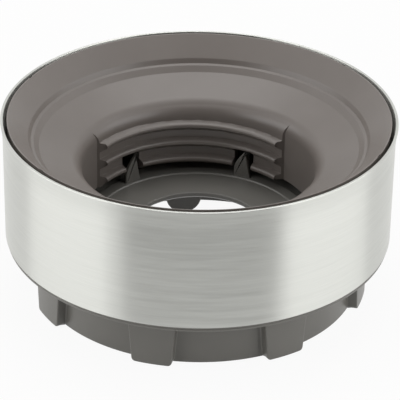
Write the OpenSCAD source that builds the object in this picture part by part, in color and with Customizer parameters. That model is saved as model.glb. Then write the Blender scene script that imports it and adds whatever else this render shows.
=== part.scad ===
// Threaded base ring of a blender jar, in millimetres.
// Z is the ring's own axis, the undersides of the lugs stand on z = 0 and +Y points to the drop tab at the back.

/* [Sleeve] */
// outside radius of the rolled steel sleeve
sleeve_r = 60; // [55:0.5:70]
// sheet the sleeve is rolled from
sheet_t = 0.8; // [0.5:0.1:1.2]
// height of the sleeve from its lower edge to the lip
sleeve_h = 38.7; // [34:0.1:46]
// height of the belled part under the lip
bell_h = 7; // [4:0.5:10]
// how far the lip is belled outwards
bell_out = 0.6; // [0.2:0.1:1.2]

/* [Collar] */
// gap between the sleeve and the collar skirt behind it
sleeve_clear = 0.05; // [0:0.01:0.2]
// wall of the collar skirt
skirt_t = 2.2; // [1.6:0.1:3]
// inward step of the skirt behind the belled lip
lip_step = 0.25; // [0.1:0.05:0.5]
// moulded wall of the dish and the neck
wall = 2; // [1.6:0.1:2.6]
// flat on top of the rim
rim_flat = 0.6; // [0.4:0.1:1]
// how far the sloping rim reaches inwards
rim_run = 6.1; // [4:0.1:8]
// drop of the sloping rim
rim_drop = 5.9; // [4:0.1:8]
// drop of the step under the sloping rim
step_drop = 1.5; // [1:0.1:2.5]
// how far that step reaches inwards
step_in = 0.7; // [0.3:0.1:1.2]
// width of the narrow land under the step
land_w = 0.9; // [0.5:0.1:1.5]
// drop of the chamfer from the land to the dish
chamfer_drop = 1.7; // [1:0.1:2.5]
// how far the chamfer reaches inwards
chamfer_run = 1.6; // [1:0.1:2.5]
// slope of the dish in degrees
dish_slope = 23.5; // [15:0.5:30]
// radius between the dish and the neck
mouth_round = 5.5; // [3:0.1:6]
// inside radius of the plain neck
neck_r = 36; // [34:0.1:38]
// gap from the lower end of the neck to the ledge below it
neck_gap = 3.1; // [2:0.1:4]

/* [Thread] */
// inside radius of the threaded pads
pad_r = 35.3; // [34.6:0.1:35.8]
// half width of the plain band between the two threaded pads
plain_half = 20; // [15:0.5:24]
// inside radius over the thread crests
crest_r = 33; // [32.6:0.1:34]
// rise of the thread in one turn
pitch = 6; // [4:0.1:8]
// height of the first crest above the ledge, at the back
first_crest = 16.7; // [16:0.1:17.5]
// rounding of the crests
crest_round = 0.9; // [0.5:0.1:1.2]
// slope of the upper flank in degrees
upper_flank = 15; // [5:1:30]
// slope of the lower flank in degrees
lower_flank = 35; // [20:1:45]

/* [Pawls] */
// angle from the back to each pawl in degrees
pawl_angle = 31.6; // [20:0.5:38]
// width of a pawl
pawl_w = 5.7; // [4:0.1:8]
// height of a pawl above the ledge
pawl_h = 9.5; // [8:0.1:10]
// thickness of a pawl
pawl_t = 1.2; // [1:0.1:2]
// how far a pawl stands back from the edge of the seat
pawl_back = 1; // [0.5:0.1:2]
// width of the flat on top of a pawl
pawl_tip = 1.4; // [0.8:0.1:2.5]
// height of the straight part of the curved edge
pawl_side = 3.2; // [3:0.1:6]
// radius of the curved edge
pawl_arc = 14; // [8:0.5:25]
// rounding of the corner between the tip and the upright edge
pawl_round = 0.9; // [0.3:0.1:1.2]
// gap between a pawl and its slot
pawl_clear = 0.5; // [0.3:0.05:0.8]

/* [Base ring] */
// how far the flange edge stands back from the sleeve's face
flange_back = 0.4; // [0.2:0.05:1]
// thickness of the flange edge
flange_t = 0.8; // [0.6:0.1:1.2]
// height of the land that carries the sleeve
land_h = 0.7; // [0.3:0.1:1.2]
// how far that land stands back from the flange edge
land_back = 0.1; // [0:0.05:0.3]
// height of the flange underside above the lug feet
skirt_h = 16.8; // [12:0.1:22]
// how far the lower skirt stands in from the flange edge
lower_back = 9.4; // [8:0.1:12]
// wall of the lower skirt
lower_t = 1.8; // [1.4:0.1:2.6]
// radius of the centre hole
hole_r = 20.1; // [16:0.1:24]
// chamfer round the top of the hole
hole_chamfer = 0.3; // [0.1:0.1:0.5]
// bevel round the bottom of the hole
hole_bevel = 0.7; // [0.2:0.1:0.8]
// thickness of the floor round the hole
floor_t = 2; // [1.8:0.1:3]
// radius of the seat sunk in the floor
seat_r = 32.6; // [30:0.1:32.8]
// width of the ledge round the seat
ledge_w = 4.1; // [3.5:0.1:5]
// height of the ledge above the seat
ledge_h = 0.4; // [0.3:0.1:1.2]
// height of the spigot inside the collar skirt
spigot_h = 3.5; // [2:0.1:6]
// wall of the spigot
spigot_t = 1.6; // [1.2:0.1:2.4]
// gap between the spigot and the collar skirt
spigot_clear = 0.1; // [0.05:0.01:0.3]

/* [Lugs] */
// number of lugs round the lower skirt
lug_count = 8; // [4:1:8]
// turn of the lugs from the drop tab's midline in degrees
lug_turn = 1; // [-3:0.5:3]
// how far the lugs stand out from the lower skirt
lug_out = 3; // [2:0.1:5]
// half width of a lug at its foot
lug_foot = 6.15; // [4:0.05:7]
// half width of a lug at the flange
lug_root = 7.6; // [5:0.05:9]
// rounding of the lower lug corners
lug_round = 1.2; // [0.5:0.1:2]
// radius of the half round end of the drop tab
tab_r = 5.8; // [3:0.1:8]
// distance from the axis to the middle of the drop tab
tab_at = 40; // [30:0.5:44]
// thickness of the drop tab
tab_t = 2; // [1.2:0.1:3]
// gap from the end of the drop tab to the level of the lug feet
tab_lift = 0.9; // [0.2:0.1:4]

/* [Hidden] */
$fn = 96;
eps = 0.01;
land_z = skirt_h + flange_t + land_h;
top_z = land_z + sleeve_h;
seat_z = skirt_h + floor_t;
ledge_z = seat_z + ledge_h;
sleeve_in = sleeve_r - sheet_t;
bell_r = (bell_h * bell_h + bell_out * bell_out) / (2 * bell_out);
skirt_r = sleeve_in - sleeve_clear;
skirt_in = skirt_r - skirt_t;
rim_r = skirt_r - lip_step;
rim_in = rim_r - rim_flat;
rim_foot_r = rim_in - rim_run;
rim_slope = atan(rim_drop / rim_run);
step_r = rim_foot_r - step_in;
dish_r = step_r - land_w - chamfer_run;
step_z = top_z - rim_drop - step_drop;
dish_z = step_z - chamfer_drop - 0.3;
neck_end = ledge_z + neck_gap;
corner_z = dish_z - (dish_r - neck_r) * tan(dish_slope);
mouth_run = mouth_round * tan((90 - dish_slope) / 2);
round_z = corner_z - mouth_run;
under_neck = neck_r + wall;
under_corner = dish_z - (dish_r - under_neck) * tan(dish_slope) - wall / cos(dish_slope);
pad_half = acos(plain_half / crest_r);
crest_mid = crest_r + crest_round;
lead_tilt = atan(pitch * pad_half / 360 / (crest_r * sin(pad_half)));
slot_h = pawl_h + ledge_z + 0.4 - neck_end;
slot_w = pawl_w + 2 * pawl_clear;
ledge_r = seat_r + ledge_w;
pawl_r = seat_r + pawl_back;
spigot_r = skirt_in - spigot_clear;
flange_r = sleeve_r - flange_back;
land_r = flange_r - land_back;
lower_r = flange_r - lower_back;
lower_in = lower_r - lower_t;
lug_r = lower_r + lug_out;

// Cross-section of the steel sleeve, belled by an arc under its lip.
module sleeve_section() {
    arc_z = top_z - bell_h;
    translate([sleeve_in, land_z]) square([sheet_t, arc_z - land_z]);
    intersection() {
        translate([sleeve_in - 1, arc_z]) square([4, bell_h]);
        translate([sleeve_r + bell_r, arc_z]) difference() {
            circle(r = bell_r + sheet_t, $fn = 200);
            circle(r = bell_r, $fn = 200);
        }
    }
}

// The rolled band of brushed steel round the ring.
module sleeve() {
    color([0.80, 0.81, 0.79]) rotate_extrude() sleeve_section();
}

// Sloping rim, double step, dish, neck and outer skirt in one moulded wall.
module collar_section() {
    difference() {
        polygon([
            [neck_r, neck_end],
            [neck_r, corner_z],
            [dish_r, dish_z],
            [step_r - land_w, step_z - 0.3],
            [step_r, step_z],
            [rim_foot_r, top_z - rim_drop],
            [rim_in, top_z],
            [rim_r, top_z],
            [rim_r, top_z - bell_h - 2],
            [skirt_r, top_z - bell_h - 3],
            [skirt_r, land_z],
            [skirt_in, land_z],
            [skirt_in, top_z - wall / cos(rim_slope) - (rim_in - skirt_in) * tan(rim_slope)],
            [dish_r + 1.2, dish_z - wall / 2],
            [dish_r, dish_z - wall / cos(dish_slope)],
            [under_neck, under_corner],
            [under_neck, neck_end]
        ]);
        mouth_corner();
    }
}

// What the rounding between the dish and the neck takes off the sharp corner.
module mouth_corner() {
    difference() {
        polygon([
            [neck_r - 1, round_z],
            [neck_r, round_z],
            [neck_r + mouth_round, round_z],
            [neck_r + mouth_run * cos(dish_slope), corner_z + mouth_run * sin(dish_slope)],
            [neck_r, corner_z + 1],
            [neck_r - 1, corner_z + 1]
        ]);
        translate([neck_r + mouth_round, round_z]) circle(r = mouth_round);
    }
}

// Section of a threaded pad: a thicker wall that runs out upwards in the same rounding.
module pad_section() {
    step = neck_r - pad_r;
    low_z = round_z - step;
    translate([pad_r, neck_end]) square([under_neck - pad_r - 0.2, low_z - neck_end]);
    intersection() {
        translate([pad_r, low_z]) square([under_neck - pad_r - 0.2, mouth_run]);
        translate([pad_r + mouth_round, low_z]) circle(r = mouth_round);
    }
}

// Section of one thread crest, centred on z = 0: a round nose between two straight flanks.
module crest_section() {
    root = pad_r + 0.9;
    up_r = crest_mid - crest_round * sin(upper_flank);
    up_z = crest_round * cos(upper_flank);
    low_r = crest_mid - crest_round * sin(lower_flank);
    low_z = -crest_round * cos(lower_flank);
    translate([crest_mid, 0]) circle(r = crest_round, $fn = 32);
    polygon([
        [crest_mid, 0],
        [up_r, up_z],
        [root, up_z + (root - up_r) * tan(upper_flank)],
        [root, low_z - (root - low_r) * tan(lower_flank)],
        [low_r, low_z]
    ]);
}

// One turn of the thread on one pad. Over a third of a turn a tilted ring keeps to the helix within 0.05 mm.
module crest(height, tilt) {
    translate([0, 0, height]) rotate([0, tilt, 0]) rotate_extrude() crest_section();
}

// The room one threaded pad may fill: behind the plane y = plain_half.
module pad_zone() {
    translate([-sleeve_r, plain_half, neck_end]) cube([2 * sleeve_r, sleeve_r, top_z - neck_end]);
}

// A threaded pad at the back with its crests, cut off square at both ends.
module pad(first, turns) {
    intersection() {
        union() {
            rotate_extrude() pad_section();
            for (turn = [0 : turns - 1]) crest(first - turn * pitch, lead_tilt);
        }
        pad_zone();
    }
}

// The slots in the neck through which the pawls stand.
module pawl_slots() {
    for (side = [0, 180]) {
        for (angle = [-pawl_angle, pawl_angle]) {
            rotate([0, 0, side + angle]) translate([-slot_w / 2, pad_r - 3, neck_end - 1])
                cube([slot_w, wall + 5, slot_h + 1]);
        }
    }
}

// The moulded collar: dish, neck and the interrupted right-hand thread.
module collar() {
    color([0.60, 0.58, 0.56]) difference() {
        union() {
            rotate_extrude() collar_section();
            pad(ledge_z + first_crest, 3);
            rotate([0, 0, 180]) pad(ledge_z + first_crest - pitch / 2, 2);
        }
        pawl_slots();
    }
}

// Section of the base: floor with its sunk seat, ledge, spigot, sleeve land, flange and lower skirt.
module base_section() {
    polygon([
        [hole_r + hole_bevel, skirt_h],
        [hole_r, skirt_h + hole_bevel],
        [hole_r, seat_z - hole_chamfer],
        [hole_r + hole_chamfer, seat_z],
        [seat_r, seat_z],
        [seat_r + 0.3, ledge_z],
        [ledge_r, ledge_z],
        [ledge_r, land_z],
        [spigot_r - spigot_t, land_z],
        [spigot_r - spigot_t, land_z + spigot_h],
        [spigot_r - 0.5, land_z + spigot_h],
        [spigot_r, land_z + spigot_h - 0.5],
        [spigot_r, land_z],
        [land_r, land_z],
        [land_r, land_z - land_h],
        [flange_r, land_z - land_h],
        [flange_r, skirt_h],
        [lower_r, skirt_h],
        [lower_r, 0],
        [lower_in, 0],
        [lower_in, skirt_h]
    ]);
}

// Face of a lug seen from outside, narrower at its rounded foot.
module lug_face() {
    difference() {
        polygon([[-lug_foot, 0], [lug_foot, 0], [lug_root, skirt_h + 0.5], [-lug_root, skirt_h + 0.5]]);
        for (side = [-1, 1]) {
            scale_x = side * (lug_foot - lug_round);
            difference() {
                translate([side > 0 ? scale_x : scale_x - 2, -1]) square([2, lug_round + 1]);
                translate([scale_x, lug_round]) circle(r = lug_round, $fn = 32);
            }
        }
    }
}

// The lugs that lock the ring into the motor base.
module lugs() {
    intersection() {
        difference() {
            cylinder(r = lug_r, h = skirt_h + 0.3);
            translate([0, 0, -1]) cylinder(r = lower_in + 0.8, h = skirt_h + 3);
        }
        for (index = [0 : lug_count - 1]) {
            rotate([0, 0, lug_turn + (index + 0.5) * 360 / lug_count]) translate([0, lug_r + 2, 0])
                rotate([90, 0, 0]) linear_extrude(height = lug_out + lower_t + 3) lug_face();
        }
    }
}

// Outline of a pawl: one upright edge, one edge that leans over in a wide arc to a narrow tip.
module pawl_face() {
    arc_h = pawl_h - pawl_side;
    run = pawl_w - pawl_tip;
    lean = atan(arc_h / run);
    half_chord = run / (2 * cos(lean));
    arc_in = sqrt(pawl_arc * pawl_arc - half_chord * half_chord);
    corner = pawl_w / 2 - pawl_round;
    translate([-pawl_w / 2, -0.4]) square([pawl_w, pawl_side + 0.4]);
    intersection() {
        union() {
            translate([-pawl_w / 2, pawl_side - eps]) square([pawl_w, arc_h - pawl_round + eps]);
            translate([-pawl_w / 2, pawl_side]) square([pawl_w - pawl_round, arc_h]);
            translate([corner, pawl_h - pawl_round]) circle(r = pawl_round, $fn = 32);
        }
        translate([(run - pawl_w) / 2 + arc_in * sin(lean), pawl_side + arc_h / 2 - arc_in * cos(lean)])
            circle(r = pawl_arc);
    }
}

// The spring pawls that stand on the ledge and lock the jar against unscrewing.
module pawls() {
    for (side = [0, 180]) {
        for (angle = [-pawl_angle, pawl_angle]) {
            rotate([0, 0, side + angle]) translate([0, pawl_r + pawl_t, ledge_z])
                rotate([90, 0, 0]) linear_extrude(height = pawl_t) pawl_face();
        }
    }
}

// The half round tab that hangs behind the centre hole.
module drop_tab() {
    end_z = tab_lift + tab_r;
    translate([0, tab_at + tab_t / 2, 0]) rotate([90, 0, 0]) linear_extrude(height = tab_t) {
        translate([0, end_z]) circle(r = tab_r);
        translate([-tab_r, end_z]) square([2 * tab_r, skirt_h + 0.3 - end_z]);
    }
}

// The moulded base that closes the ring from below.
module base_ring() {
    color([0.42, 0.41, 0.39]) union() {
        rotate_extrude() base_section();
        lugs();
        pawls();
        drop_tab();
    }
}

sleeve();
collar();
base_ring();
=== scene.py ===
"""Threaded base ring of a blender jar, dressed for a studio picture.

Three mouldings and pressings make the ring: a brushed steel sleeve, a dished
collar with an interrupted inside thread, and a base with lugs, spring pawls
and a drop tab. Each is a closed surface worked out on a grid in millimetres
and brought to metres at the very end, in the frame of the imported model.
"""

import logging
import math
from dataclasses import dataclass, field
from enum import Enum
from typing import Any, Sequence

import bmesh
import bpy
import numpy as np
from mathutils import Matrix, Vector


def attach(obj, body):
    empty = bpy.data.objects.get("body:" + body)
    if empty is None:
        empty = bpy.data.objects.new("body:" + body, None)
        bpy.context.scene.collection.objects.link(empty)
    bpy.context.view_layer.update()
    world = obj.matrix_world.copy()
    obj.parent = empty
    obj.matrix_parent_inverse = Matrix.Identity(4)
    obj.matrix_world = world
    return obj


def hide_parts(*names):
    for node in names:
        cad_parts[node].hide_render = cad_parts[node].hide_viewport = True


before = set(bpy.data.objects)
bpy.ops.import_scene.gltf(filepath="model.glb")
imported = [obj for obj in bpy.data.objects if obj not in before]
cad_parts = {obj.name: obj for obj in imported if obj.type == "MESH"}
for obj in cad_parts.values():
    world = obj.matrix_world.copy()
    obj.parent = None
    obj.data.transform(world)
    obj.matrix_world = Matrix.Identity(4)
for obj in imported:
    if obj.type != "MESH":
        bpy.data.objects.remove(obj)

LOG = logging.getLogger("base_ring_scene")
MM = 0.001
TAU = 2.0 * math.pi


# Colour, nodes and meshes


def linear(code: str) -> tuple[float, float, float, float]:
    """Turns an sRGB hex colour into the linear one that shaders use.

    Each channel c becomes c / 12.92 below 0.04045 and
    ((c + 0.055) / 1.055) to the power 2.4 above it.

    Args:
        code: Six hex digits, red first.

    Returns:
        Linear red, green and blue, and an alpha of one.
    """
    channels = [int(code[i : i + 2], 16) / 255.0 for i in (0, 2, 4)]
    red, green, blue = (
        c / 12.92 if c <= 0.04045 else ((c + 0.055) / 1.055) ** 2.4
        for c in channels
    )
    return (red, green, blue, 1.0)


def add_node(
    tree: bpy.types.NodeTree,
    kind: str,
    inputs: dict[str | int, Any] | None = None,
    **settings: Any,
) -> bpy.types.Node:
    """Adds one node with its settings and what feeds it.

    Args:
        tree: The node tree that gets the node.
        kind: Blender's name for the type of node.
        inputs: For a socket's name or number, a value or another node's output.
        **settings: Properties of the node itself.

    Returns:
        The new node.
    """
    node = tree.nodes.new(kind)
    for name, value in settings.items():
        setattr(node, name, value)
    for name, value in (inputs or {}).items():
        if isinstance(value, bpy.types.NodeSocket):
            tree.links.new(value, node.inputs[name])
        else:
            node.inputs[name].default_value = value
    return node


def seeing_ray(tree: bpy.types.NodeTree) -> bpy.types.NodeSocket:
    """Gives 1 for camera, glossy and transmission rays and 0 for the others."""
    path = add_node(tree, "ShaderNodeLightPath")
    direct = add_node(
        tree,
        "ShaderNodeMath",
        {0: path.outputs["Is Camera Ray"], 1: path.outputs["Is Glossy Ray"]},
        operation="MAXIMUM",
    ).outputs[0]
    return add_node(
        tree,
        "ShaderNodeMath",
        {0: direct, 1: path.outputs["Is Transmission Ray"]},
        operation="MAXIMUM",
    ).outputs[0]


def new_material(name: str) -> bpy.types.Material:
    """Makes an empty material that uses nodes."""
    material = bpy.data.materials.new(name)
    material.use_nodes = True
    material.node_tree.nodes.clear()
    return material


@dataclass
class Shell:
    """Vertices and faces of a piece, gathered patch by patch in millimetres."""

    name: str
    points: list[np.ndarray] = field(default_factory=list)
    quads: list[np.ndarray] = field(default_factory=list)
    polygons: list[np.ndarray] = field(default_factory=list)
    count: int = 0

    def add_points(self, points: np.ndarray) -> np.ndarray:
        """Adds points and tells where they are.

        Args:
            points: An array whose last axis is x, y, z in millimetres.

        Returns:
            Their numbers, in an array of the same shape without that axis.
        """
        shape = points.shape[:-1]
        number = int(np.prod(shape))
        self.points.append(points.reshape(-1, 3))
        index = np.arange(self.count, self.count + number).reshape(shape)
        self.count += number
        return index

    def add_grid(self, index: np.ndarray, keep: np.ndarray | None = None) -> None:
        """Joins a grid of numbered points with one quad per cell.

        Args:
            index: Rows by columns of point numbers.
            keep: Rows by columns of cells, true where a cell is wanted.
        """
        cells = np.stack(
            [index[:-1, :-1], index[:-1, 1:], index[1:, 1:], index[1:, :-1]], -1
        )
        if keep is not None:
            cells = cells[keep]
        self.quads.append(cells.reshape(-1, 4))

    def build(self, sharp: float = 40.0) -> bpy.types.Object:
        """Makes the closed mesh, in metres, with its normals outwards.

        Args:
            sharp: Angle in degrees above which an edge stays sharp.

        Returns:
            The object, at the origin.
        """
        points = np.concatenate(self.points) * MM
        quads = np.concatenate(self.quads) if self.quads else np.zeros((0, 4), int)
        corners = np.concatenate([quads.ravel(), *self.polygons]).astype(np.int32)
        sizes = np.array([4] * len(quads) + [len(p) for p in self.polygons], np.int32)
        mesh = bpy.data.meshes.new(self.name)
        mesh.vertices.add(len(points))
        mesh.vertices.foreach_set("co", points.ravel())
        mesh.loops.add(len(corners))
        mesh.loops.foreach_set("vertex_index", corners)
        mesh.polygons.add(len(sizes))
        starts = np.concatenate([[0], np.cumsum(sizes)[:-1]]).astype(np.int32)
        mesh.polygons.foreach_set("loop_start", starts)
        mesh.update(calc_edges=True)
        mesh.validate()
        work = bmesh.new()
        work.from_mesh(mesh)
        bmesh.ops.remove_doubles(work, verts=work.verts, dist=2e-7)
        bmesh.ops.recalc_face_normals(work, faces=work.faces)
        open_edges = sum(1 for e in work.edges if not e.is_manifold)
        work.to_mesh(mesh)
        work.free()
        mesh.shade_smooth()
        mesh.set_sharp_from_angle(angle=math.radians(sharp))
        # The flat end faces, which have more than four corners, keep one shade.
        corners = np.zeros(len(mesh.polygons), np.int32)
        mesh.polygons.foreach_get("loop_total", corners)
        mesh.polygons.foreach_set("use_smooth", corners <= 4)
        piece = bpy.data.objects.new(self.name, mesh)
        bpy.context.scene.collection.objects.link(piece)
        LOG.info(
            "%s: %d faces, %d open edges", self.name, len(mesh.polygons), open_edges
        )
        return piece


# Profiles


def line_steps(length: float, longest: float, skirt: float) -> np.ndarray:
    """Places points between the two ends of a straight stretch.

    One point stands close to either end, so that a flat face keeps its own
    shade beside a rounding, and the rest are evenly spread.

    Args:
        length: Length of the stretch.
        longest: Longest step allowed.
        skirt: Distance of the first and the last point from the ends.

    Returns:
        Distances from the start, without either end.
    """
    if length < 3.0 * skirt:
        return np.zeros(0)
    inner = max(1, math.ceil((length - 2.0 * skirt) / longest))
    return np.linspace(skirt, length - skirt, inner + 1)


def round_corners(
    corners: Sequence[tuple[float, float, float]],
    closed: bool = True,
    longest: float = 1.6,
    skirt: float = 0.12,
) -> np.ndarray:
    """Rounds the corners of an outline and spreads points along its sides.

    At each corner of angle a, an arc of radius R touches both sides at
    R / tan(a / 2) from the corner; its centre lies on the bisector at
    R / sin(a / 2).

    Args:
        corners: Two coordinates and a rounding radius for each corner.
        closed: Whether the last corner joins the first.
        longest: Longest step along a straight stretch.
        skirt: Distance from a rounding to the first point of a stretch.

    Returns:
        Points of the outline, by two.
    """
    spots = np.array([c[:2] for c in corners])
    pieces: list[np.ndarray] = []
    total = len(spots)
    for i, (spot, radius) in enumerate(zip(spots, (c[2] for c in corners))):
        before, after = spots[i - 1], spots[(i + 1) % total]
        if radius <= 0 or (not closed and i in (0, total - 1)):
            pieces.append(spot[None])
            continue
        u = (before - spot) / np.linalg.norm(before - spot)
        v = (after - spot) / np.linalg.norm(after - spot)
        half = 0.5 * math.acos(float(np.clip(u @ v, -1.0, 1.0)))
        bisector = (u + v) / np.linalg.norm(u + v)
        centre = spot + bisector * radius / math.sin(half)
        first = spot + u * radius / math.tan(half) - centre
        sweep = math.pi - 2.0 * half
        side = np.sign(first[0] * v[1] - first[1] * v[0]) or 1.0
        steps = max(3, math.ceil(sweep / math.radians(14.0)))
        turn = side * np.linspace(0.0, sweep, steps + 1)
        pieces.append(
            centre
            + np.stack(
                [
                    first[0] * np.cos(turn) - first[1] * np.sin(turn),
                    first[0] * np.sin(turn) + first[1] * np.cos(turn),
                ],
                -1,
            )
        )
    out: list[np.ndarray] = []
    for i, piece in enumerate(pieces):
        out.append(piece)
        if not closed and i == total - 1:
            break
        start, end = piece[-1], pieces[(i + 1) % total][0]
        length = float(np.linalg.norm(end - start))
        steps = line_steps(length, longest, skirt)
        out.append(start + (end - start) * (steps / max(length, 1e-9))[:, None])
    return np.concatenate(out)


def revolve(profile: np.ndarray, angles: np.ndarray) -> np.ndarray:
    """Carries a profile round the axis.

    A point (r, z) at the angle a becomes (r cos a, r sin a, z).

    Args:
        profile: Points by radius and height.
        angles: One angle per column, in radians, or one per point and column.

    Returns:
        Points by profile point and column.
    """
    angles = np.broadcast_to(angles, (len(profile), angles.shape[-1]))
    radius, height = profile[:, :1], profile[:, 1:]
    return np.stack(
        [
            radius * np.cos(angles),
            radius * np.sin(angles),
            np.broadcast_to(height, angles.shape),
        ],
        -1,
    )


def wrap(index: np.ndarray, rows: bool, columns: bool) -> np.ndarray:
    """Repeats the first row or column of a grid at its end, to close it."""
    if rows:
        index = np.concatenate([index, index[:1]])
    if columns:
        index = np.concatenate([index, index[:, :1]], 1)
    return index


# Finishes


@dataclass(frozen=True)
class BrushedStainless:
    """Stainless steel sheet, brushed round the ring with a fine abrasive belt.

    Brushing draws each highlight out across the scratches, so the sleeve
    mirrors the room as upright bands, with fine level lines of uneven
    brightness.
    """

    name: str = "brushed_stainless_steel"
    light: str = "D2D3CE"
    dark: str = "CBCCC7"
    roughness: float = 0.34
    stretch: float = 1.0
    scratch_mm: float = 0.30
    scratch_run_mm: float = 14.0

    def make(self) -> bpy.types.Material:
        """Builds the material."""
        material = new_material(self.name)
        tree = material.node_tree
        place = add_node(tree, "ShaderNodeTexCoord").outputs["Object"]
        # Scratches of a real belt are 0.02 mm apart: drawn coarser so that they show.
        run, across = 1.0 / (self.scratch_run_mm * MM), 1.0 / (self.scratch_mm * MM)
        fine_place = add_node(
            tree,
            "ShaderNodeMapping",
            {"Vector": place, "Scale": (run, run, across)},
        ).outputs[0]
        fine = add_node(
            tree,
            "ShaderNodeTexNoise",
            {"Vector": fine_place, "Scale": 1.0, "Detail": 3.0, "Roughness": 0.65},
        ).outputs["Fac"]
        broad_place = add_node(
            tree,
            "ShaderNodeMapping",
            {"Vector": place, "Scale": (run / 4.0, run / 4.0, across / 6.0)},
        ).outputs[0]
        broad = add_node(
            tree,
            "ShaderNodeTexNoise",
            {"Vector": broad_place, "Scale": 1.0, "Detail": 2.0},
        ).outputs["Fac"]
        both = add_node(
            tree,
            "ShaderNodeMix",
            {0: 0.35, 2: fine, 3: broad},
            data_type="FLOAT",
        ).outputs[0]
        tone = add_node(
            tree,
            "ShaderNodeMapRange",
            {"Value": both, "From Min": 0.34, "From Max": 0.66},
        ).outputs[0]
        colour = add_node(
            tree,
            "ShaderNodeMix",
            {0: tone, 6: linear(self.dark), 7: linear(self.light)},
            data_type="RGBA",
        ).outputs[2]
        rough = add_node(
            tree,
            "ShaderNodeMapRange",
            {
                "Value": both,
                "From Min": 0.3,
                "From Max": 0.7,
                "To Min": self.roughness * 1.12,
                "To Max": self.roughness * 0.88,
            },
        ).outputs[0]
        bump = add_node(
            tree,
            "ShaderNodeBump",
            {"Height": fine, "Strength": 0.10, "Distance": 0.02 * MM},
        ).outputs[0]
        tangent = add_node(
            tree, "ShaderNodeTangent", direction_type="RADIAL", axis="Z"
        ).outputs[0]
        shader = add_node(
            tree,
            "ShaderNodeBsdfPrincipled",
            {
                "Base Color": colour,
                "Metallic": 1.0,
                "Roughness": rough,
                "Anisotropic": self.stretch,
                "Anisotropic Rotation": 0.25,
                "Tangent": tangent,
                "Normal": bump,
            },
        ).outputs[0]
        add_node(tree, "ShaderNodeOutputMaterial", {"Surface": shader})
        return material


@dataclass(frozen=True)
class MouldedPlastic:
    """Warm grey ABS, injection moulded in a tool with a fine satin finish.

    The eye sees a soft sheen that brightens towards grazing, a hardly
    visible clouding of the pigment and the even grain of the tool's surface.
    """

    name: str
    base: str
    cloud: str
    roughness: float = 0.36
    grain_mm: float = 0.22
    cloud_mm: float = 18.0

    def make(self) -> bpy.types.Material:
        """Builds the material."""
        material = new_material(self.name)
        tree = material.node_tree
        place = add_node(tree, "ShaderNodeTexCoord").outputs["Object"]
        clouds = add_node(
            tree,
            "ShaderNodeTexNoise",
            {
                "Vector": place,
                "Scale": 1.0 / (self.cloud_mm * MM),
                "Detail": 3.0,
                "Roughness": 0.5,
            },
        ).outputs["Fac"]
        shade = add_node(
            tree,
            "ShaderNodeMapRange",
            {"Value": clouds, "From Min": 0.3, "From Max": 0.7},
        ).outputs[0]
        colour = add_node(
            tree,
            "ShaderNodeMix",
            {0: shade, 6: linear(self.base), 7: linear(self.cloud)},
            data_type="RGBA",
        ).outputs[2]
        grain = add_node(
            tree,
            "ShaderNodeTexNoise",
            {"Vector": place, "Scale": 1.0 / (self.grain_mm * MM), "Detail": 1.0},
        ).outputs["Fac"]
        rough = add_node(
            tree,
            "ShaderNodeMapRange",
            {
                "Value": grain,
                "From Min": 0.3,
                "From Max": 0.7,
                "To Min": self.roughness - 0.04,
                "To Max": self.roughness + 0.04,
            },
        ).outputs[0]
        bump = add_node(
            tree,
            "ShaderNodeBump",
            {"Height": grain, "Strength": 0.06, "Distance": 0.03 * MM},
        ).outputs[0]
        shader = add_node(
            tree,
            "ShaderNodeBsdfPrincipled",
            {
                "Base Color": colour,
                "Roughness": rough,
                "IOR": 1.53,
                "Normal": bump,
            },
        ).outputs[0]
        add_node(tree, "ShaderNodeOutputMaterial", {"Surface": shader})
        return material


# The three pieces of the ring


@dataclass
class Sleeve:
    """Rolled steel band round the ring, belled by an arc under its lip."""

    radius: float = 60.0
    sheet: float = 0.8
    low: float = 18.3
    height: float = 38.7
    bell: float = 7.0
    bell_out: float = 0.6
    columns: int = 320

    def profile(self) -> np.ndarray:
        """Works out the closed section of the sheet.

        Above the height at which the bell starts, the outer face is
        r = R + B - sqrt(B^2 - h^2), with B the bell's radius and h the height
        above its start; the inner face is the same with B + sheet.
        """
        top = self.low + self.height
        start = top - self.bell
        arc = (self.bell**2 + self.bell_out**2) / (2.0 * self.bell_out)
        rise = np.linspace(0.0, self.bell - 0.12, 14)
        outer = self.radius + arc - np.sqrt(arc**2 - rise**2)
        inner = self.radius + arc - np.sqrt((arc + self.sheet) ** 2 - rise**2)
        lip_out, lip_in = outer[-1] + 0.008, inner[-1] + 0.008
        turn = np.linspace(0.0, math.pi / 2.0, 5)[1:]
        edge_out = np.stack(
            [lip_out - 0.12 * (1 - np.cos(turn)), top - 0.12 * (1 - np.sin(turn))], -1
        )
        edge_in = np.stack(
            [lip_in + 0.12 * (1 - np.sin(turn)), top - 0.12 * (1 - np.cos(turn))], -1
        )
        wall = np.linspace(self.low + 0.3, start - 0.3, 18)
        foot = round_corners(
            [
                (self.radius - self.sheet, self.low + 0.3, 0.0),
                (self.radius - self.sheet, self.low, 0.12),
                (self.radius, self.low, 0.12),
                (self.radius, self.low + 0.3, 0.0),
            ],
            closed=False,
        )
        return np.concatenate(
            [
                foot,
                np.stack([np.full(17, self.radius), wall[1:]], -1),
                np.stack([outer, start + rise], -1),
                edge_out,
                edge_in,
                np.stack([inner, start + rise], -1)[::-1],
                np.stack([np.full(17, self.radius - self.sheet), wall[:0:-1]], -1),
            ]
        )

    def build(self) -> bpy.types.Object:
        """Builds the sleeve and dresses it in brushed steel."""
        shell = Shell("sleeve_steel")
        angles = np.linspace(0.0, TAU, self.columns, endpoint=False)
        index = shell.add_points(revolve(self.profile(), angles))
        shell.add_grid(wrap(index, True, True))
        piece = shell.build()
        piece.data.materials.append(BrushedStainless().make())
        return piece


class Column(Enum):
    """How one upright line of points on the collar is held."""

    RAY = "at one angle"
    FLAT = "on a plane beside a slot"
    PAD = "on the end plane of a pad, at the pad's own radius"
    STEP = "on the end plane of a pad, at the radius of the plain neck"


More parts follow.
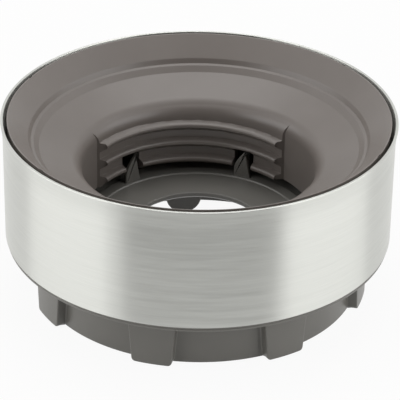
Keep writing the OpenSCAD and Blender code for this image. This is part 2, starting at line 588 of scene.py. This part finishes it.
@dataclass
class Collar:
    """Moulded collar: rim, dish and neck with two threaded pads inside."""

    rim_top: float = 57.0
    low: float = 18.3
    neck: float = 36.0
    neck_end: float = 22.3
    wall: float = 2.0
    mouth: float = 5.5
    dish: tuple[float, float] = (49.0, 47.6)
    step_edge: tuple[float, float] = (50.6, 49.3)
    step_root: tuple[float, float] = (51.5, 49.6)
    rim_foot: tuple[float, float] = (52.2, 51.1)
    rim_edge: float = 58.3
    rim_out: float = 58.9
    skirt_out: float = 59.15
    skirt_in: float = 56.95
    skirt_shoulder: tuple[float, float] = (48.0, 47.0)
    rim_under: float = 52.9
    step_under: tuple[float, float] = (50.2, 46.6)
    dish_under: float = 45.42
    slope: float = 23.5
    pad: float = 35.3
    plain_half: float = 20.0
    crest: float = 33.9
    nose: float = 0.9
    upper: float = 15.0
    lower: float = 35.0
    pitch: float = 6.0
    crest_at_back: float = 35.9
    slot_angle: float = 31.6
    slot_half: float = 3.35
    slot_top: float = 29.1

    def crest_radius(self, height: np.ndarray) -> np.ndarray:
        """Gives the radius of one crest at heights above its middle.

        Within the nose it is c - sqrt(n^2 - h^2), and beyond the points where
        the flanks touch the nose it grows as h / tan(flank).

        Args:
            height: Heights above the middle of the crest.

        Returns:
            Radii, large outside the crest.
        """
        up, down = math.radians(self.upper), math.radians(self.lower)
        top, foot = self.nose * math.cos(up), -self.nose * math.cos(down)
        inside = np.clip(height, foot, top)
        nose = self.crest - np.sqrt(self.nose**2 - inside**2)
        above = np.maximum(height - top, 0.0) / math.tan(up)
        below = np.maximum(foot - height, 0.0) / math.tan(down)
        return nose + above + below

    def neck_surface(self, height: np.ndarray) -> np.ndarray:
        """Gives the plain neck's radius: straight, then an arc to the dish."""
        lift = np.maximum(height - self.round_z, 0.0)
        return self.neck + self.mouth - np.sqrt(
            np.maximum(self.mouth**2 - lift**2, 0.0)
        )

    def pad_surface(self, angle: np.ndarray, height: np.ndarray) -> np.ndarray:
        """Gives the radius of a threaded pad with its crests.

        The pad is the neck's form moved in and down by the same step. A
        crest's middle stands at z0 + pitch * a / 360, with a the angle from
        the back, and again one pitch lower.

        Args:
            angle: Angles in radians.
            height: Heights of the same shape.

        Returns:
            The smaller of the pad's and the crests' radii.
        """
        step = self.neck - self.pad
        lift = np.maximum(height - (self.round_z - step), 0.0)
        radius = self.pad + self.mouth - np.sqrt(
            np.maximum(self.mouth**2 - lift**2, 0.0)
        )
        turn = np.degrees(np.mod(angle, TAU)) - 90.0
        back = turn < 90.0
        middle = self.crest_at_back + self.pitch * turn / 360.0
        for level in range(4):
            crest = self.crest_radius(height - middle + level * self.pitch)
            wanted = (level <= 2) & back | (level in (1, 2)) & ~back
            radius = np.where(wanted, np.minimum(radius, crest), radius)
        return radius

    @property
    def round_z(self) -> float:
        """Height at which the rounding between the neck and the dish starts."""
        run = self.mouth * math.tan(math.radians(90.0 - self.slope) / 2.0)
        return self.corner_z - run

    @property
    def corner_z(self) -> float:
        """Height at which the dish's slope would meet the neck."""
        return self.dish[1] - (self.dish[0] - self.neck) * math.tan(
            math.radians(self.slope)
        )

    def columns(self) -> list[tuple[Column, float, float]]:
        """Lists the upright lines of points, once round from the right.

        Returns:
            For each its kind, its angle in degrees and its side offset.
        """
        out: list[tuple[Column, float, float]] = []
        end = math.degrees(math.asin(self.plain_half / self.neck))
        first = math.degrees(math.asin(self.plain_half / self.pad)) + 1.6
        near = math.degrees(math.asin(self.slot_half / self.pad)) + 1.2
        slots = (90.0 - self.slot_angle, 90.0 + self.slot_angle)
        for half in (0.0, 180.0):
            plain = np.linspace(half - end, half + end, 48)[1:-1]
            out += [(Column.RAY, a, 0.0) for a in plain]
            out += [(Column.STEP, half + end, 1.0), (Column.PAD, half + end, 1.0)]
            stops = [first, slots[0] - near, slots[0] + near]
            stops += [slots[1] - near, slots[1] + near, 180.0 - first]
            for i, (a, b) in enumerate(zip(stops[:-1], stops[1:])):
                if i in (1, 3):
                    offsets = np.linspace(-1.0, 1.0, 7) * self.slot_half
                    centre = half + slots[0 if i == 1 else 1]
                    out += [(Column.FLAT, centre, -o) for o in offsets]
                else:
                    steps = max(2, math.ceil((b - a) / 1.3))
                    span = np.linspace(a, b, steps + 1)
                    out += [(Column.RAY, half + v, 0.0) for v in span]
            out += [(Column.PAD, half + 180.0 - end, 1.0)]
            out += [(Column.STEP, half + 180.0 - end, 1.0)]
        return out

    def body(self) -> np.ndarray:
        """Works out the rest of the closed section, from the dish round to the
        foot of the neck's outer wall."""
        under = self.neck + self.wall
        lean = math.radians(self.slope)
        corner = self.dish[1] - (self.dish[0] - under) * math.tan(lean)
        corner -= self.wall / math.cos(lean)
        start = (
            self.neck + self.mouth + self.mouth * math.cos(math.radians(90 + self.slope)),
            self.round_z + self.mouth * math.sin(math.radians(90 + self.slope)),
        )
        return round_corners(
            [
                (start[0], start[1], 0.0),
                (*self.dish, 0.7),
                (*self.step_edge, 0.45),
                (*self.step_root, 0.15),
                (*self.rim_foot, 1.1),
                (self.rim_edge, self.rim_top, 0.25),
                (self.rim_out, self.rim_top, 0.25),
                (self.rim_out, self.skirt_shoulder[0], 0.0),
                (self.skirt_out, self.skirt_shoulder[1], 0.0),
                (self.skirt_out, self.low, 0.0),
                (self.skirt_in, self.low, 0.0),
                (self.skirt_in, self.rim_under, 1.0),
                (*self.step_under, 0.8),
                (self.dish[0], self.dish_under, 1.5),
                (under, corner, 1.5),
                (under, self.slot_top, 0.0),
                (under, self.neck_end, 0.0),
            ],
            closed=False,
        )

    def build(self) -> bpy.types.Object:
        """Builds the collar and dresses it."""
        low_rows = np.linspace(self.neck_end, self.slot_top, 43)
        mid_rows = np.linspace(self.slot_top, self.round_z, 58)[1:]
        arc = np.radians(np.linspace(180.0, 90.0 + self.slope, 26))[1:-1]
        arc_rows = self.round_z + self.mouth * np.sin(arc)
        heights = np.concatenate([low_rows, mid_rows, arc_rows])
        columns = self.columns()
        kinds = [c[0] for c in columns]
        base = np.radians(np.array([c[1] for c in columns]))
        offset = np.array([c[2] for c in columns])
        is_step = np.array([k is Column.STEP for k in kinds])
        is_pad = np.array([k is Column.PAD for k in kinds])
        is_flat = np.array([k is Column.FLAT for k in kinds])
        plain = np.abs(np.sin(base)) < self.plain_half / self.neck - 1e-6
        high, turn = np.meshgrid(heights, base, indexing="ij")
        neck = self.neck_surface(high)
        pad = np.minimum(self.pad_surface(turn, high), neck)
        radius = np.where(plain | is_step, neck, pad)
        angle = turn.copy()
        # A point on the plane y = p at radius r stands at the angle asin(p / r).
        rise = np.arcsin(np.clip(self.plain_half / radius, -1.0, 1.0))
        cosine = np.cos(base) > 0.0
        upper = np.sin(base) > 0.0
        corner = np.where(cosine, rise, math.pi - rise)
        corner = np.where(upper, corner, -corner)
        angle = np.where(is_step | is_pad, corner, angle)
        side = np.arcsin(offset / radius)
        angle = np.where(is_flat, turn - side, angle)
        inner = np.stack([radius * np.cos(angle), radius * np.sin(angle), high], -1)

        body = self.body()
        flat_body = np.where(
            is_flat, -np.arcsin(np.clip(offset / body[:, :1], -1.0, 1.0)), 0.0
        )
        body_angle = np.where(is_step | is_pad, angle[-1], base) + flat_body
        outer = revolve(body, body_angle)
        shell = Shell("collar_moulding")
        index = shell.add_points(np.concatenate([inner, outer]))
        rows = len(index)
        slot_row = rows - 1 - int(
            np.argmin(np.abs(body[::-1, 1] - self.slot_top) + 50 * (body[::-1, 0] > 39))
        )
        top_in = len(low_rows) - 1
        closed = wrap(index, True, True)
        keep = np.ones((rows, len(columns)), bool)
        in_slot = is_flat & np.roll(is_flat, -1)
        keep[:top_in, in_slot] = False
        keep[slot_row:, in_slot] = False
        shell.add_grid(closed, keep)
        ceiling = np.stack([closed[top_in], closed[slot_row]])
        shell.add_grid(ceiling, in_slot[None])
        edges = np.flatnonzero(is_flat & (np.roll(is_flat, 1) != np.roll(is_flat, -1)))
        for column in edges:
            side_wall = np.concatenate(
                [index[slot_row:, column], index[: top_in + 1, column]]
            )
            shell.polygons.append(side_wall)
        piece = shell.build()
        piece.data.materials.append(
            MouldedPlastic("satin_abs_collar", "77706B", "7C7570").make()
        )
        return piece


@dataclass
class BaseRing:
    """Moulded base: floor, lugged skirt, spring pawls and drop tab."""

    lug_count: int = 8
    lug_turn: float = 1.0
    lug_r: float = 53.2
    lug_foot: float = 6.15
    lug_root: float = 7.6
    lug_round: float = 1.2
    lower_r: float = 50.2
    lower_in: float = 48.4
    skirt: float = 16.8
    edge: float = 0.35
    fillet: float = 0.4
    flange: tuple[float, float] = (52.6, 59.6)
    land: tuple[float, float] = (59.5, 17.6)
    deck: float = 18.3
    spigot: tuple[float, float, float] = (56.85, 55.25, 21.8)
    ledge: tuple[float, float] = (36.7, 19.2)
    seat: tuple[float, float] = (32.6, 18.8)
    hole: float = 20.1
    pawl_angle: float = 31.6
    pawl_near: float = 33.6
    pawl_thick: float = 1.2
    tab_near: float = 39.0
    tab_thick: float = 2.0

    def lug_loops(self, heights: np.ndarray) -> np.ndarray:
        """Works out level sections through the lower skirt with its lugs.

        Round each lug the loop runs along the skirt, through a fillet onto
        the lug's flat side at x = h, round the outer edge and along the outer
        face, with h growing evenly from foot to root and drawn in by the
        foot's rounding: h - R + sqrt(R^2 - (R - z)^2) for z below R. A small
        rounding of both outer faces closes the loops towards the foot.

        Args:
            heights: Height of each section.

        Returns:
            Points by section and column.
        """
        z = heights[:, None]
        half = self.lug_foot + (self.lug_root - self.lug_foot) * z / (self.skirt + 0.5)
        drop = np.maximum(self.lug_round - z, 0.0)
        half = half - self.lug_round + np.sqrt(self.lug_round**2 - drop**2)
        soft = np.maximum(0.3 - z, 0.0)
        trim = 0.3 - np.sqrt(0.09 - soft**2)
        outer, inner = self.lug_r - trim, self.lower_r - trim
        out_x = half - self.edge
        out_y = np.sqrt((outer - self.edge) ** 2 - out_x**2)
        in_x = half + self.fillet
        in_y = np.sqrt((inner + self.fillet) ** 2 - in_x**2)
        out_end = np.arctan2(out_y, out_x)
        in_end = np.arctan2(-in_y, -in_x)
        t = np.linspace(0.0, 1.0, 6)[None]
        corner = out_end * (1 - t)
        out_arc = (out_x + self.edge * np.cos(corner), out_y + self.edge * np.sin(corner))
        bend = -math.pi + (in_end + math.pi) * t
        in_arc = (in_x + self.fillet * np.cos(bend), in_y + self.fillet * np.sin(bend))
        s = np.array([0.06, 0.5, 0.94])[None]
        wall_y = out_y + (in_y - out_y) * s
        wall_x = np.broadcast_to(half, wall_y.shape)
        face_end = np.arctan2(out_arc[0][:, :1], out_arc[1][:, :1])
        f = np.array([0.0, 0.2, 0.4, 0.6, 0.8, 0.96])[None]
        face = (outer * np.sin(face_end * f), outer * np.cos(face_end * f))
        gap_start = np.arctan2(in_arc[0][:, -1:], in_arc[1][:, -1:])
        middle = math.pi / self.lug_count
        g = np.array([0.03, 0.15, 0.3, 0.45, 0.6, 0.75, 0.9])[None]
        gap_angle = gap_start + (middle - gap_start) * g
        gap = (inner * np.sin(gap_angle), inner * np.cos(gap_angle))
        right_x = np.concatenate([face[0], out_arc[0], wall_x, in_arc[0], gap[0]], 1)
        right_y = np.concatenate([face[1], out_arc[1], wall_y, in_arc[1], gap[1]], 1)
        side_x = np.concatenate([-right_x[:, :0:-1], right_x], 1)
        side_y = np.concatenate([right_y[:, :0:-1], right_y], 1)
        edge_x, edge_y = inner * math.sin(middle), inner * math.cos(middle)
        side_x = np.concatenate([side_x, np.broadcast_to(edge_x, z.shape)], 1)
        side_y = np.concatenate([side_y, np.broadcast_to(edge_y, z.shape)], 1)
        loops = []
        for number in range(self.lug_count):
            turn = math.radians(self.lug_turn + (number + 0.5) * 360.0 / self.lug_count)
            # A local (x, y) with y along the lug's radius; columns run clockwise.
            cos, sin = math.cos(-turn), math.sin(-turn)
            loops.append(
                np.stack(
                    [
                        side_x * cos + side_y * sin,
                        -side_x * sin + side_y * cos,
                        np.broadcast_to(z, side_x.shape),
                    ],
                    -1,
                )
            )
        return np.concatenate(loops[::-1], 1)

    def plate(self) -> np.ndarray:
        """Works out the section from the flange round to the inside of the
        skirt's foot."""
        return round_corners(
            [
                (self.flange[0], self.skirt, 0.0),
                (self.flange[1], self.skirt, 0.25),
                (self.flange[1], self.land[1], 0.25),
                (self.land[0], self.land[1], 0.0),
                (self.land[0], self.deck, 0.0),
                (self.spigot[0], self.deck, 0.0),
                (self.spigot[0], self.spigot[2], 0.4),
                (self.spigot[1], self.spigot[2], 0.3),
                (self.spigot[1], self.deck, 0.5),
                (self.ledge[0], self.deck, 0.3),
                (self.ledge[0], self.ledge[1], 0.3),
                (self.seat[0] + 0.3, self.ledge[1], 0.25),
                (self.seat[0], self.seat[1], 0.15),
                (self.hole + 0.3, self.seat[1], 0.15),
                (self.hole, self.seat[1] - 0.3, 0.1),
                (self.hole, self.skirt + 0.7, 0.1),
                (self.hole + 0.7, self.skirt, 0.2),
                (self.lower_in, self.skirt, 0.8),
                (self.lower_in, 0.0, 0.3),
                (self.lower_in + 0.5, 0.0, 0.0),
            ],
            closed=False,
        )

    def build(self) -> bpy.types.Object:
        """Builds the base with its pawls and tab and dresses it."""
        heights = np.concatenate(
            [
                [0.0, 0.02, 0.07, 0.15, 0.3, 0.45, 0.7, 0.95, 1.2],
                np.linspace(2.0, self.skirt, 14),
            ]
        )
        loops = self.lug_loops(heights)
        mid = loops[12]
        angles = np.unwrap(np.arctan2(mid[:, 1], mid[:, 0]))
        plate = self.plate()
        shell = Shell("base_moulding")
        index = shell.add_points(np.concatenate([loops, revolve(plate, angles)]))
        shell.add_grid(wrap(index, True, True))
        for side in (0.0, 180.0):
            for angle in (side - self.pawl_angle, side + self.pawl_angle):
                face = self.pawl_outline()
                self.add_slab(shell, face, self.pawl_near, self.pawl_thick, angle, self.ledge[1])
        self.add_slab(shell, self.tab_outline(), self.tab_near, self.tab_thick, 0.0, 0.0)
        piece = shell.build()
        piece.data.materials.append(
            MouldedPlastic("satin_abs_base", "73716C", "787671").make()
        )
        return piece

    def pawl_outline(self) -> np.ndarray:
        """Works out the face of a pawl: one upright edge and one that leans
        over in a wide arc, sqrt(R^2 - x^2), to a narrow tip."""
        width, height, side, tip, arc = 5.7, 9.5, 3.2, 1.4, 14.0
        run = width - tip
        lean = math.atan2(height - side, run)
        half = run / (2.0 * math.cos(lean))
        back = math.sqrt(arc**2 - half**2)
        centre = np.array(
            [
                (run - width) / 2.0 + back * math.sin(lean),
                side + (height - side) / 2.0 - back * math.cos(lean),
            ]
        )
        start = np.array([-width / 2.0, side]) - centre
        end = np.array([width / 2.0 - tip, height]) - centre
        a, b = math.atan2(start[1], start[0]), math.atan2(end[1], end[0])
        turn = np.linspace(a, b, 9)[1:-1]
        curve = centre + arc * np.stack([np.cos(turn), np.sin(turn)], -1)
        corners = [(-width / 2.0, -0.4, 0.0), (-width / 2.0, side, 0.6)]
        corners += [(x, y, 0.0) for x, y in curve]
        corners += [
            (width / 2.0 - tip, height, 0.35),
            (width / 2.0, height, 0.9),
            (width / 2.0, -0.4, 0.0),
        ]
        return round_corners(corners, longest=1.2, skirt=0.1)

    def tab_outline(self) -> np.ndarray:
        """Works out the face of the drop tab, half round at its lower end."""
        radius, end_z = 5.8, 6.7
        turn = np.linspace(0.0, -math.pi, 33)
        curve = np.stack([radius * np.cos(turn), end_z + radius * np.sin(turn)], -1)
        top = np.array([[-radius, 17.1], [radius, 17.1]])
        return np.concatenate([curve, top])

    def add_slab(
        self,
        shell: Shell,
        outline: np.ndarray,
        near: float,
        thick: float,
        turn: float,
        base: float,
    ) -> None:
        """Adds an upright plate with softened edges, facing the axis.

        Each ring is the outline moved in along its own normals by
        f - f sin t while its depth runs from f - f cos t, for t from 0 to 90
        degrees, and the same again at the far face.

        Args:
            shell: The mesh that gets the plate.
            outline: Width and height of the face's points.
            near: Distance of the near face from the axis.
            thick: Thickness of the plate.
            turn: Angle from the back in degrees.
            base: Height at which the outline's zero stands.
        """
        soft = 0.22
        step = np.roll(outline, -1, 0) - np.roll(outline, 1, 0)
        normal = np.stack([step[:, 1], -step[:, 0]], -1)
        normal /= np.linalg.norm(normal, axis=1)[:, None]
        area = np.sum(
            outline[:, 0] * np.roll(outline[:, 1], -1)
            - outline[:, 1] * np.roll(outline[:, 0], -1)
        )
        inward = -normal if area > 0 else normal
        t = np.radians([0.0, 30.0, 60.0, 90.0])
        inset = np.concatenate([soft * (1 - np.sin(t)), soft * (1 - np.sin(t[::-1]))])
        depth = np.concatenate(
            [soft * (1 - np.cos(t)), thick - soft * (1 - np.cos(t[::-1]))]
        )
        face = outline[None] + inward[None] * inset[:, None, None]
        local = np.stack(
            [
                face[..., 0],
                np.broadcast_to(near + depth[:, None], face.shape[:2]),
                base + face[..., 1],
            ],
            -1,
        )
        spin = np.array(Matrix.Rotation(math.radians(turn), 3, "Z"))
        index = shell.add_points(local @ spin.T)
        shell.add_grid(wrap(index, False, True))
        shell.polygons += [index[0], index[-1]]


# The studio


@dataclass
class Studio:
    """Pale floor, soft lamps, a white room and the camera."""

    turn: float = 7.0
    rim: float = 57.0
    reach_mm: float = 692.514
    rise: float = 27.1778
    pitch: float = 29.3161
    yaw: float = 0.0528
    roll: float = 0.9118
    focal_px: float = 2270.963
    picture_px: float = 400.0
    room_light: float = 0.45

    def place(self, x: float, y: float, z: float) -> Vector:
        """Turns a spot in the camera's frame, in metres above the rim's
        level, into the part's frame."""
        spin = Matrix.Rotation(math.radians(-self.turn), 3, "Z")
        return spin @ Vector((x, y, 0.0)) + Vector((0.0, 0.0, z + self.rim * MM))

    def camera(self) -> None:
        """Sets up the camera that was solved from the picture's ellipses."""
        reach, rise = self.reach_mm * MM, math.radians(self.rise)
        pitch, yaw, roll = (math.radians(a) for a in (self.pitch, self.yaw, self.roll))
        forward = Vector(
            (
                math.sin(yaw) * math.cos(pitch),
                math.cos(yaw) * math.cos(pitch),
                -math.sin(pitch),
            )
        )
        right = forward.cross(Vector((0, 0, 1))).normalized()
        up = right.cross(forward)
        side = math.cos(roll) * right + math.sin(roll) * up
        top = -math.sin(roll) * right + math.cos(roll) * up
        spin = Matrix.Rotation(math.radians(-self.turn), 3, "Z")
        data = bpy.data.cameras.new("studio_camera")
        data.sensor_width = 36.0
        data.lens = self.focal_px * data.sensor_width / self.picture_px
        data.clip_start, data.clip_end = 0.05, 20.0
        camera = bpy.data.objects.new("studio_camera", data)
        axes = Matrix((spin @ side, spin @ top, spin @ -forward)).transposed()
        spot = self.place(0.0, -reach * math.cos(rise), reach * math.sin(rise))
        camera.matrix_world = Matrix.Translation(spot) @ axes.to_4x4()
        bpy.context.scene.collection.objects.link(camera)
        bpy.context.scene.camera = camera

    def lamp(
        self,
        name: str,
        spot: tuple[float, float, float],
        size: tuple[float, float],
        watts: float,
        aim: tuple[float, float, float] = (0.0, 0.0, -0.02),
    ) -> None:
        """Adds a soft box.

        Args:
            name: Name of the lamp.
            spot: Its middle in the camera's frame, in metres.
            size: Width and height in metres.
            watts: Power.
            aim: The point it faces, in the same frame.
        """
        data = bpy.data.lights.new(name, "AREA")
        data.shape = "RECTANGLE"
        data.size, data.size_y = size
        data.energy = watts
        lamp = bpy.data.objects.new(name, data)
        here, there = self.place(*spot), self.place(*aim)
        lamp.matrix_world = Matrix.Translation(here) @ (
            (there - here).to_track_quat("-Z", "Y").to_matrix().to_4x4()
        )
        lamp.visible_camera = False
        bpy.context.scene.collection.objects.link(lamp)

    def room(self) -> None:
        """Makes the white room: white where it is seen, softer as a light."""
        world = bpy.data.worlds.new("white_room")
        world.use_nodes = True
        tree = world.node_tree
        tree.nodes.clear()
        seen = seeing_ray(tree)
        light = add_node(
            tree, "ShaderNodeBackground", {"Color": (1, 1, 1, 1), "Strength": self.room_light}
        ).outputs[0]
        white = add_node(
            tree, "ShaderNodeBackground", {"Color": (1, 1, 1, 1), "Strength": 1.0}
        ).outputs[0]
        mix = add_node(tree, "ShaderNodeMixShader", {0: seen, 1: light, 2: white})
        add_node(tree, "ShaderNodeOutputWorld", {"Surface": mix.outputs[0]})
        bpy.context.scene.world = world

    def floor(self) -> None:
        """Lays the pale floor, seen white with a trace of the ring's shadow."""
        material = new_material("pale_floor_paint")
        tree = material.node_tree
        seen = seeing_ray(tree)
        share = add_node(
            tree, "ShaderNodeMath", {0: seen, 1: 0.93}, operation="MULTIPLY"
        ).outputs[0]
        paint = add_node(
            tree,
            "ShaderNodeBsdfDiffuse",
            {"Color": linear("F2F2F0")},
        ).outputs[0]
        white = add_node(
            tree, "ShaderNodeEmission", {"Color": (1, 1, 1, 1), "Strength": 1.0}
        ).outputs[0]
        mix = add_node(tree, "ShaderNodeMixShader", {0: share, 1: paint, 2: white})
        clear = add_node(tree, "ShaderNodeBsdfTransparent").outputs[0]
        under = add_node(tree, "ShaderNodeNewGeometry").outputs["Backfacing"]
        both = add_node(
            tree, "ShaderNodeMixShader", {0: under, 1: mix.outputs[0], 2: clear}
        )
        add_node(tree, "ShaderNodeOutputMaterial", {"Surface": both.outputs[0]})
        half = 1.5
        corners = np.array(
            [[-half, -half, 0], [half, -half, 0], [half, half, 0], [-half, half, 0]]
        )
        corners[:, 2] = -0.03 * MM
        mesh = bpy.data.meshes.new("studio_floor")
        mesh.from_pydata(corners.tolist(), [], [[0, 1, 2, 3]])
        floor = bpy.data.objects.new("studio_floor", mesh)
        mesh.materials.append(material)
        bpy.context.scene.collection.objects.link(floor)

    def flag(self) -> None:
        """Hangs the dark cloth behind the camera that the front mirrors."""
        material = new_material("dark_studio_cloth")
        tree = material.node_tree
        cloth = add_node(
            tree, "ShaderNodeBsdfDiffuse", {"Color": linear("3C3A38")}
        ).outputs[0]
        add_node(tree, "ShaderNodeOutputMaterial", {"Surface": cloth})
        angle = np.radians(np.linspace(-39.0, 43.0, 25))
        rows = ((0.26, -0.0565), (1.0, -0.05), (1.0, 1.2))
        points = [
            self.place(reach * math.sin(a), -reach * math.cos(a), height)
            for reach, height in rows
            for a in angle
        ]
        mesh = bpy.data.meshes.new("studio_flag")
        index = np.arange(len(points)).reshape(len(rows), len(angle))
        cells = np.stack(
            [index[:-1, :-1], index[:-1, 1:], index[1:, 1:], index[1:, :-1]], -1
        )
        mesh.from_pydata(points, [], cells.reshape(-1, 4).tolist())
        flag = bpy.data.objects.new("studio_flag", mesh)
        mesh.materials.append(material)
        flag.visible_camera = False
        bpy.context.scene.collection.objects.link(flag)

    def build(self) -> None:
        """Sets the whole studio up."""
        self.camera()
        self.room()
        self.floor()
        self.flag()
        self.lamp("left_softbox", (-1.05, -0.25, 0.35), (1.2, 0.9), 6.0)
        self.lamp("right_softbox", (1.05, -0.25, 0.35), (1.2, 0.9), 6.0)
        self.lamp("top_softbox", (0.0, 0.35, 1.1), (0.9, 0.7), 4.0)
        bpy.context.scene.view_settings.view_transform = "Standard"


def main() -> None:
    """Builds the studio and the ring, piece by piece.
    """
    logging.basicConfig(level=logging.INFO, format="%(name)s %(message)s")
    Studio().build()
    for maker, node, slot in (
        (Sleeve(), "sleeve", "brushed_sleeve"),
        (Collar(), "collar", "collar_plastic"),
        (BaseRing(), "base_ring", "base_plastic"),
    ):
        piece = maker.build()
        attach(piece, "root")
        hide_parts(node)
        LOG.info("%s stands for %s", piece.name, node)


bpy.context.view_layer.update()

if __name__ == "__main__":
    main()
